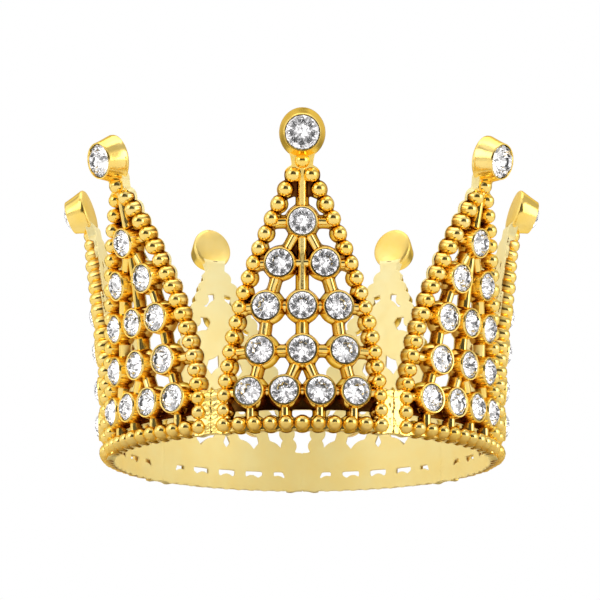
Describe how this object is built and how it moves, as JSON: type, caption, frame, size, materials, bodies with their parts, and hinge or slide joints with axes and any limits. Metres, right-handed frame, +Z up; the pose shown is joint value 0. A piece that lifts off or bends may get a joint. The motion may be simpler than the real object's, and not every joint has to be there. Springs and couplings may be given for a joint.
{
  "type": "crown",
  "caption": "Round open crown of identical beaded lattice panels joined in a ring, each set with small round stones in cups and a larger stone in a drum at its tip.",
  "frame": {"origin": "centre of the ring at the base the crown stands on", "axes": "+Z up along the ring's axis, panel_1 faces -Y, the panels are numbered anticlockwise seen from above"},
  "size_m": [0.0984, 0.0965, 0.0586],
  "materials": {
    "gold_casting": "polished gold plate over a die casting",
    "crystal": "clear faceted, foil backed",
    "cement": "clear setting cement with the foil's grey showing through",
    "solder": "dull, slightly grainy, plated with the panels"
  },
  "bodies": {
    "root": {"panel_1": "gold_casting", "panel_2": "gold_casting", "panel_3": "gold_casting", "panel_4": "gold_casting", "panel_5": "gold_casting", "panel_6": "gold_casting", "panel_7": "gold_casting", "chatons_1": "crystal", "chatons_2": "crystal", "chatons_3": "crystal", "chatons_4": "crystal", "chatons_5": "crystal", "chatons_6": "crystal", "chatons_7": "crystal", "tip_stone_1": "crystal", "tip_stone_2": "crystal", "tip_stone_3": "crystal", "tip_stone_4": "crystal", "tip_stone_5": "crystal", "tip_stone_6": "crystal", "tip_stone_7": "crystal", "cement_1": "cement", "cement_2": "cement", "cement_3": "cement", "cement_4": "cement", "cement_5": "cement", "cement_6": "cement", "cement_7": "cement", "solder_1": "solder", "solder_2": "solder", "solder_3": "solder", "solder_4": "solder", "solder_5": "solder", "solder_6": "solder", "solder_7": "solder"}
  },
  "joints": []
}
